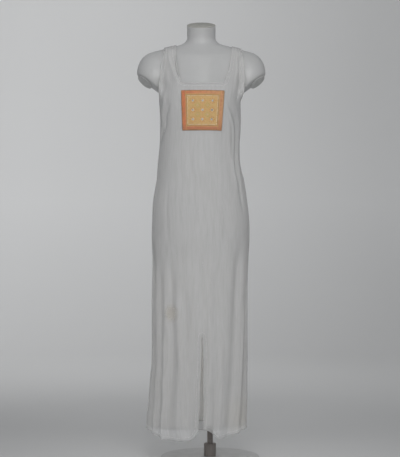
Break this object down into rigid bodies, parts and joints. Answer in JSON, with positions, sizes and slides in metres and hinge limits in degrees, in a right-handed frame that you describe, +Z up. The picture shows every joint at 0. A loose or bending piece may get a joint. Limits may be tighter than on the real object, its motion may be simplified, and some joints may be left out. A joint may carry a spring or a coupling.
{
  "type": "maxi dress on dress form",
  "caption": "Sleeveless long straight dress of sheer crinkled cloth over a lining, with wide straps, a beaded chest patch and a front slit, on a limbless dress form with a stand.",
  "frame": {"origin": "on the floor, under the base plate, midway between the form's shoulders and below its middle from front to back", "axes": "+Z up; -Y is the front of the dress; +X is to the right when the dress is seen from the front"},
  "size_m": [0.4482, 0.344, 1.5304],
  "materials": {
    "outer_cloth": "sheer crinkled weave, matt",
    "lining_cloth": "plain opaque weave, matt",
    "embroidery": "orange and gold stitching with pale beads",
    "form_skin": "smooth painted shell, soft gloss",
    "cap": "matt end plates",
    "pole": "dark brown paint, satin",
    "base": "pale grey paint, satin"
  },
  "bodies": {
    "root": {"outer_front": "outer_cloth", "outer_back": "outer_cloth", "lining_front": "lining_cloth", "lining_back": "lining_cloth", "patch": "embroidery", "form_torso": "form_skin", "neck_cap": "cap", "arm_cap_left": "cap", "arm_cap_right": "cap", "pole": "pole", "pole_socket": "pole", "base_plate": "base"}
  },
  "joints": []
}
